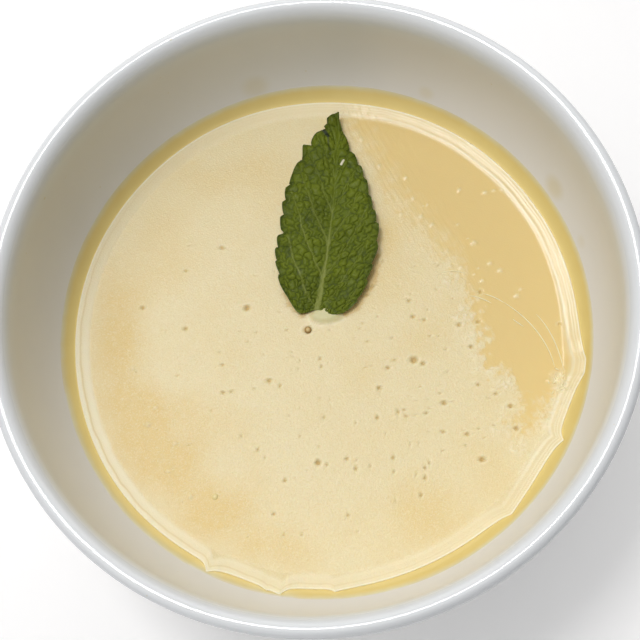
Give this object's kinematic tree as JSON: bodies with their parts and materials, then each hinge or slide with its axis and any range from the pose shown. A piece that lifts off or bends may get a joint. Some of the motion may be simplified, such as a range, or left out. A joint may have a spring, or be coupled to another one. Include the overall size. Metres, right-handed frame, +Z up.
{
  "type": "panna cotta in a bowl with a mint leaf",
  "caption": "Pale yellow panna cotta set in a round white glazed bowl, with a scalloped lip, a thin ring of yellow syrup at the wall and a mint leaf on top.",
  "frame": {"origin": "centre of the bowl's foot, on the surface that it stands on", "axes": "+Z up, along the bowl's axis; +Y towards the side that the leaf's tip points to; +X to the right of that seen from above"},
  "size_m": [0.15, 0.15, 0.061],
  "materials": {
    "white_glaze": "smooth glossy off-white glaze",
    "set_cream": "soft wet sheen on pale yellow set cream, with small burst bubbles",
    "yellow_syrup": "clear wet yellow syrup",
    "mint_green": "quilted satin green leaf with a pale midrib"
  },
  "bodies": {
    "root": {"bowl": "white_glaze", "panna_cotta": "set_cream", "yellow_syrup_ring": "yellow_syrup", "mint_leaf": "mint_green"}
  },
  "joints": []
}
